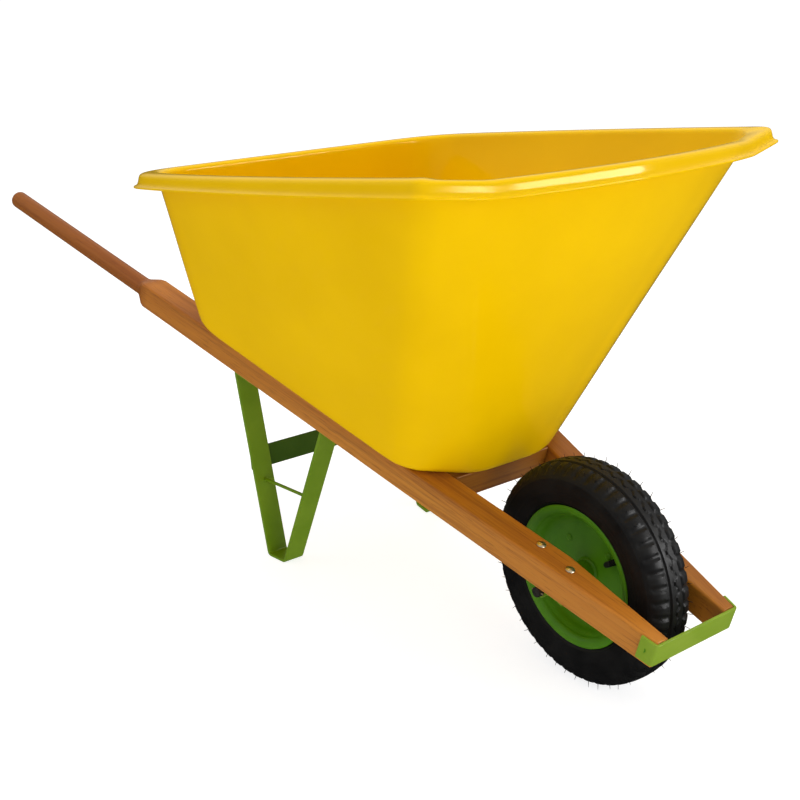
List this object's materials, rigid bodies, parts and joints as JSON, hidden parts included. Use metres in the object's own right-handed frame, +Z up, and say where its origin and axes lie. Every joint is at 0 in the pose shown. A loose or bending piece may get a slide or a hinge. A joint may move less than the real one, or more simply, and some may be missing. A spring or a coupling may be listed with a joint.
{
  "type": "wheelbarrow",
  "caption": "Garden wheelbarrow: a deep plastic tray with a rolled rim on splayed wooden handles, bent strap legs, a nose guard and a pneumatic wheel.",
  "frame": {"origin": "on the ground under the middle of the overall box", "axes": "+X forwards, from the grips towards the wheel; +Y to the left of the person pushing; +Z up"},
  "size_m": [1.6141, 0.7462, 0.8213],
  "materials": {
    "yellow_plastic": "semi-gloss moulded polyethylene",
    "hardwood": "stained and clear-coated hardwood, grain along the length",
    "green_paint": "semi-gloss powder coat on mild steel",
    "tyre_rubber": "matte tread, satin side wall",
    "black_rubber": "matte",
    "zinc_steel": "zinc plated",
    "dark_steel": "oiled black steel",
    "black_plastic": "matte nylon"
  },
  "bodies": {
    "frame": {"axle": "dark_steel", "axle_bracket_left": "green_paint", "axle_bracket_right": "green_paint", "axle_pin_left": "zinc_steel", "axle_pin_right": "zinc_steel", "axle_plate_left": "green_paint", "axle_plate_right": "green_paint", "axle_spacer_left": "zinc_steel", "axle_spacer_right": "zinc_steel", "bracket_left_front_bolt": "zinc_steel", "bracket_left_front_nut": "zinc_steel", "bracket_left_rear_bolt": "zinc_steel", "bracket_left_rear_nut": "zinc_steel", "bracket_right_front_bolt": "zinc_steel", "bracket_right_front_nut": "zinc_steel", "bracket_right_rear_bolt": "zinc_steel", "bracket_right_rear_nut": "zinc_steel", "front_crosspiece": "hardwood", "guard_screw_left": "green_paint", "guard_screw_right": "green_paint", "handle_left": "hardwood", "handle_right": "hardwood", "leg_brace": "green_paint", "leg_left": "green_paint", "leg_left_front_bolt": "zinc_steel", "leg_left_front_nut": "zinc_steel", "leg_left_rear_bolt": "zinc_steel", "leg_left_rear_nut": "zinc_steel", "leg_right": "green_paint", "leg_right_front_bolt": "zinc_steel", "leg_right_front_nut": "zinc_steel", "leg_right_rear_bolt": "zinc_steel", "leg_right_rear_nut": "zinc_steel", "leg_rod_left": "green_paint", "leg_rod_right": "green_paint", "nose_guard": "green_paint", "rear_crosspiece": "hardwood", "tray": "yellow_plastic", "tray_front_bolt": "zinc_steel", "tray_front_nut": "zinc_steel"},
    "wheel": {"tyre": "tyre_rubber", "inner_tube": "black_rubber", "rim_left": "green_paint", "rim_right": "green_paint", "rim_rivet_1": "green_paint", "rim_rivet_2": "green_paint", "rim_rivet_3": "green_paint", "rim_rivet_4": "green_paint", "hub": "green_paint", "bearing_left": "black_plastic", "bearing_right": "black_plastic", "valve_stem": "black_rubber", "valve_cap": "black_plastic"}
  },
  "joints": [
    {"name": "wheel_spin", "type": "hinge", "parent": "frame", "child": "wheel", "pos_m": [0.5905, 0, 0.178], "axis": [0, 1, 0], "continuous": true}
  ]
}
